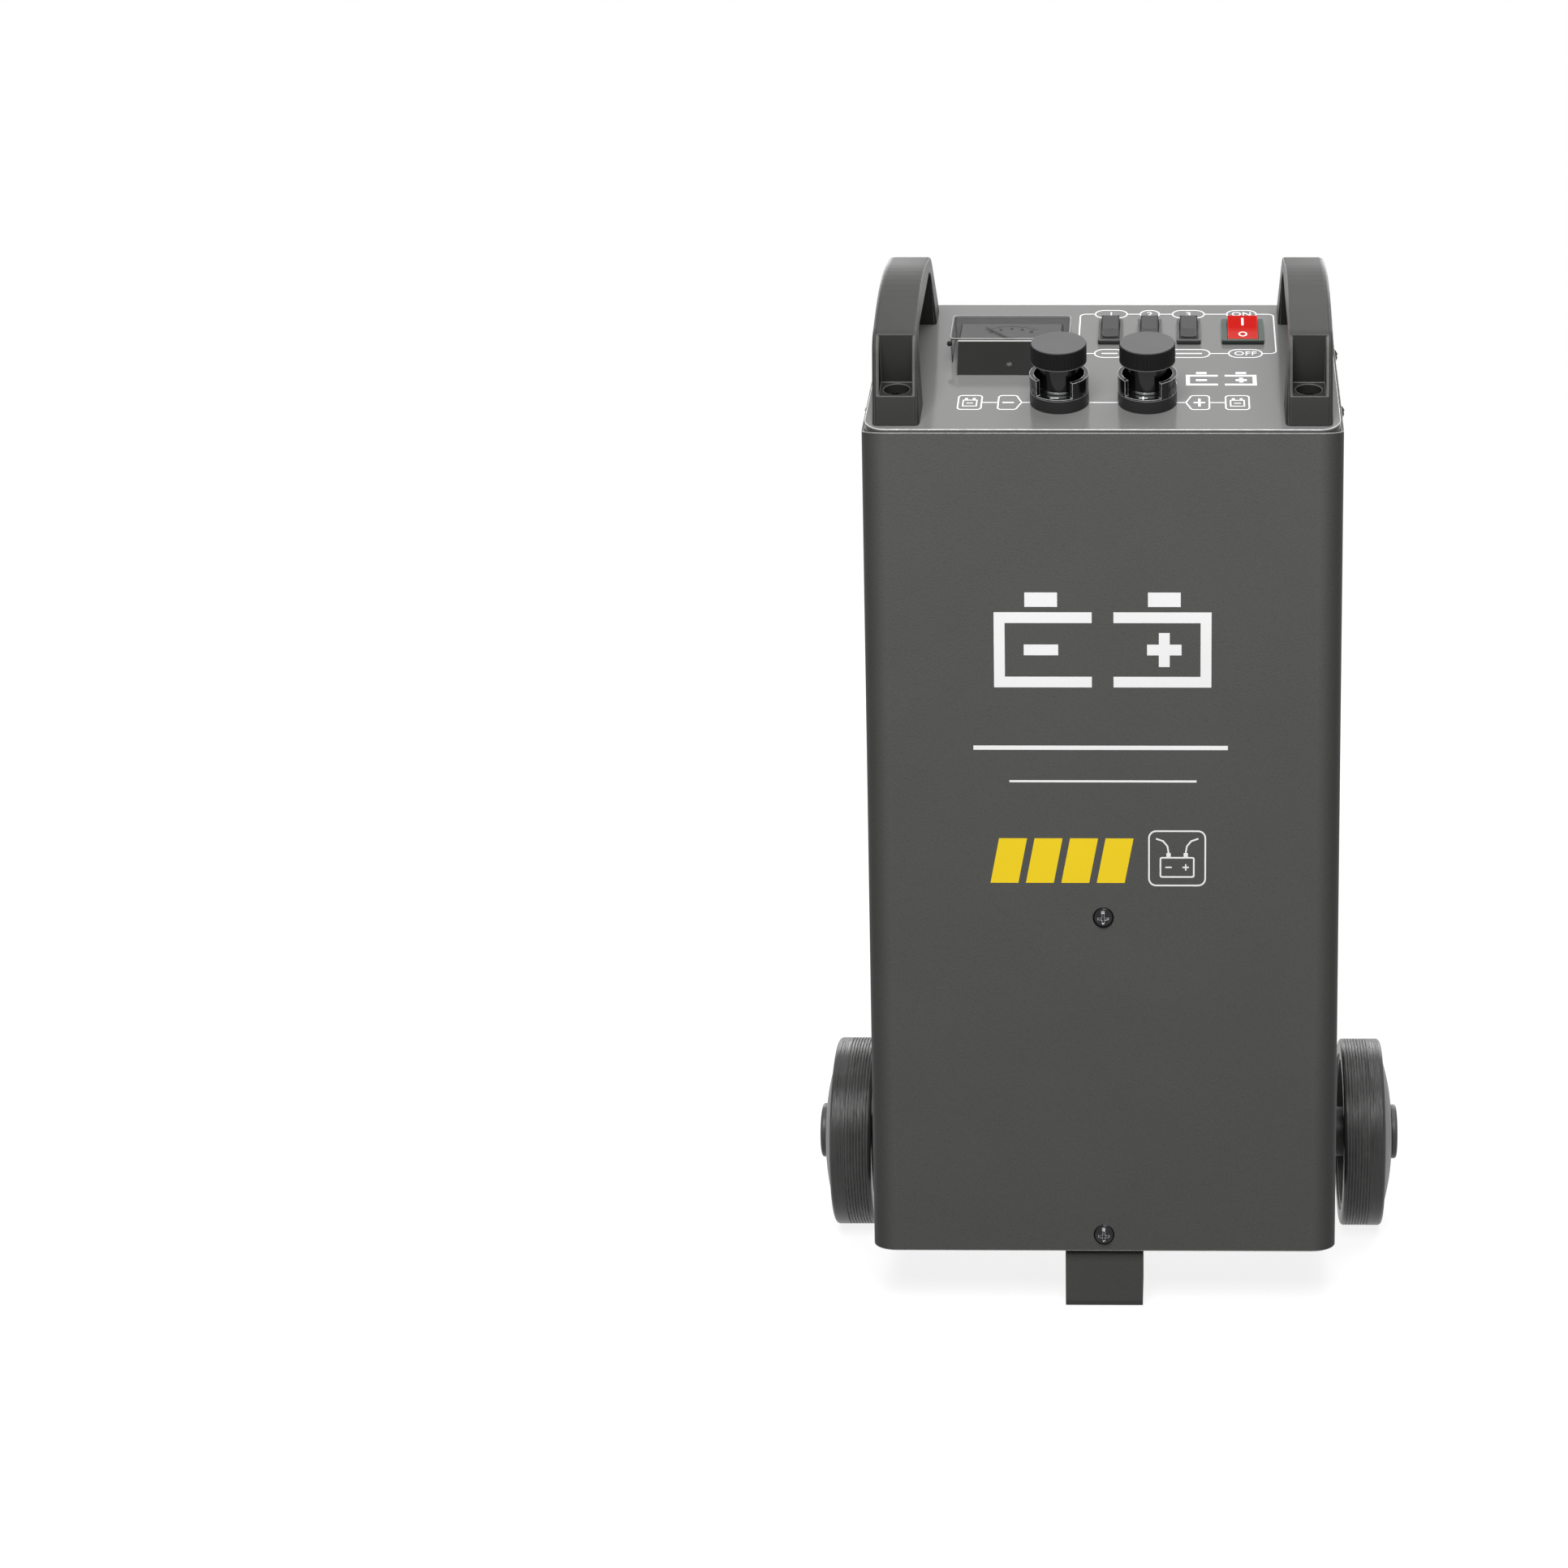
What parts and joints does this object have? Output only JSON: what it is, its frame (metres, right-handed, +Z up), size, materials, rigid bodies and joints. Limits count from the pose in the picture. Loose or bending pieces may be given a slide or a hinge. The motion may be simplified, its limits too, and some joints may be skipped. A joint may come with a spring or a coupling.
{
  "type": "car battery charger",
  "caption": "Upright car battery charger on rear wheels and a front foot, with a sloped control panel, arch handles, binding posts, rocker switches and a meter.",
  "frame": {"origin": "on the floor under the middle of the object's box", "axes": "+Z up, +Y from the front face to the back, +X to the right seen from the front"},
  "size_m": [0.3552, 0.2074, 0.5951],
  "materials": {
    "casing_paint": "fine dimpled powder coat, satin",
    "dark_paint": "fine powder coat, satin",
    "panel_paint": "satin gloss enamel",
    "handle_plastic": "fine moulded grain",
    "knob_plastic": "matt phenolic",
    "skirt_plastic": "matt moulded",
    "collar_plastic": "polished",
    "switch_plastic": "satin moulded",
    "rocker_plastic": "satin moulded",
    "rocker_red": "gloss moulded",
    "meter_plastic": "fine moulded grain",
    "meter_clear": "clear moulded",
    "scale_paint": "matt lacquer",
    "pointer_paint": "matt lacquer",
    "screw_dark": "black oxide",
    "screw_plated": "zinc plated",
    "steel": "turned",
    "lamination": "varnished sheets",
    "copper": "enamelled copper",
    "stud_brass": "turned brass",
    "aluminium": "mill finish",
    "nylon_dark": "nylon",
    "nylon_pale": "nylon",
    "wheel_plastic": "moulded",
    "tread_rubber": "moulded, dull"
  },
  "bodies": {
    "charger": {"casing_wrap": "casing_paint", "base_tray": "dark_paint", "rear_panel": "dark_paint", "control_panel": "panel_paint", "handle_left": "handle_plastic", "handle_right": "handle_plastic", "handle_screws": "screw_plated", "front_screws": "screw_dark", "side_screws": "screw_dark", "rear_screws": "screw_dark", "foot_bracket": "dark_paint", "foot_screws": "screw_dark", "axle": "steel", "axle_bushes": "nylon_dark", "axle_brackets": "steel", "axle_spacers": "nylon_dark", "axle_caps": "wheel_plastic", "meter_case": "meter_plastic", "meter_cover": "meter_clear", "meter_scale": "scale_paint", "meter_movement": "steel", "select_case_1": "switch_plastic", "select_case_2": "switch_plastic", "select_case_3": "switch_plastic", "power_case": "switch_plastic", "post_skirts": "skirt_plastic", "post_collar_left": "collar_plastic", "post_collar_right": "collar_plastic", "post_stud_left": "stud_brass", "post_stud_right": "stud_brass", "post_nuts": "screw_plated", "transformer_core": "lamination", "winding_bobbin": "nylon_pale", "primary_winding": "copper", "secondary_winding": "copper", "core_brackets": "steel", "core_bolts": "steel", "rectifier_shelf": "aluminium", "rectifier_diodes": "steel", "thermal_breaker": "nylon_dark", "bus_bar_left": "copper", "bus_bar_right": "copper", "terminal_block": "nylon_pale", "cord_gland": "nylon_dark"},
    "wheel_left": {"wheel_left": "wheel_plastic", "tread_left": "tread_rubber"},
    "wheel_right": {"wheel_right": "wheel_plastic", "tread_right": "tread_rubber"},
    "select_rocker_1": {"select_rocker_1": "rocker_plastic"},
    "select_rocker_2": {"select_rocker_2": "rocker_plastic"},
    "select_rocker_3": {"select_rocker_3": "rocker_plastic"},
    "power_rocker": {"power_rocker": "rocker_red"},
    "clamp_left": {"clamp_ring_left": "screw_plated"},
    "clamp_right": {"clamp_ring_right": "screw_plated"},
    "knob_left": {"post_knob_left": "knob_plastic"},
    "knob_right": {"post_knob_right": "knob_plastic"},
    "pointer": {"meter_pointer": "pointer_paint"},
    "zero_screw": {"meter_zero_screw": "screw_dark"}
  },
  "joints": [
    {"name": "wheel_left_spin", "type": "hinge", "parent": "charger", "child": "wheel_left", "pos_m": [-0.155, 0.04675, 0.057], "axis": [1, 0, 0], "continuous": true},
    {"name": "wheel_right_spin", "type": "hinge", "parent": "charger", "child": "wheel_right", "pos_m": [0.155, 0.04675, 0.057], "axis": [1, 0, 0], "continuous": true},
    {"name": "select_rocker_1_tilt", "type": "hinge", "parent": "charger", "child": "select_rocker_1", "pos_m": [0.0022, 0.02212, 0.54911], "axis": [1, 0, 0], "range_deg": [-20, 0]},
    {"name": "select_rocker_2_tilt", "type": "hinge", "parent": "charger", "child": "select_rocker_2", "pos_m": [0.025, 0.02212, 0.54911], "axis": [1, 0, 0], "range_deg": [-20, 0]},
    {"name": "select_rocker_3_tilt", "type": "hinge", "parent": "charger", "child": "select_rocker_3", "pos_m": [0.0478, 0.02212, 0.54911], "axis": [1, 0, 0], "range_deg": [-20, 0]},
    {"name": "power_rocker_tilt", "type": "hinge", "parent": "charger", "child": "power_rocker", "pos_m": [0.0792, 0.02212, 0.54911], "axis": [1, 0, 0], "range_deg": [-20, 0]},
    {"name": "clamp_left_lift", "type": "slide", "parent": "charger", "child": "clamp_left", "axis": [0, -0.3518, 0.9361], "range_m": [0, 0.0076]},
    {"name": "knob_left_turn", "type": "hinge", "parent": "clamp_left", "child": "knob_left", "pos_m": [-0.0244, -0.07151, 0.53443], "axis": [0, -0.3518, 0.9361], "range_deg": [0, 2160]},
    {"name": "clamp_right_lift", "type": "slide", "parent": "charger", "child": "clamp_right", "axis": [0, -0.3518, 0.9361], "range_m": [0, 0.0076]},
    {"name": "knob_right_turn", "type": "hinge", "parent": "clamp_right", "child": "knob_right", "pos_m": [0.0244, -0.07151, 0.53443], "axis": [0, -0.3518, 0.9361], "range_deg": [0, 2160]},
    {"name": "pointer_swing", "type": "hinge", "parent": "charger", "child": "pointer", "pos_m": [-0.0542, -0.01766, 0.54949], "axis": [0, -0.3518, 0.9361], "range_deg": [-84, 0], "stiffness_Nm_per_rad": 0.001},
    {"name": "zero_screw_turn", "type": "hinge", "parent": "charger", "child": "zero_screw", "pos_m": [-0.0542, -0.02962, 0.53623], "axis": [0, -0.8744, 0.4852], "range_deg": [-90, 90]}
  ],
  "couplings": [
    {"joint": "clamp_left_lift", "follows": "knob_left_turn", "m_per_rad": 0.00019894},
    {"joint": "clamp_right_lift", "follows": "knob_right_turn", "m_per_rad": 0.00019894}
  ]
}
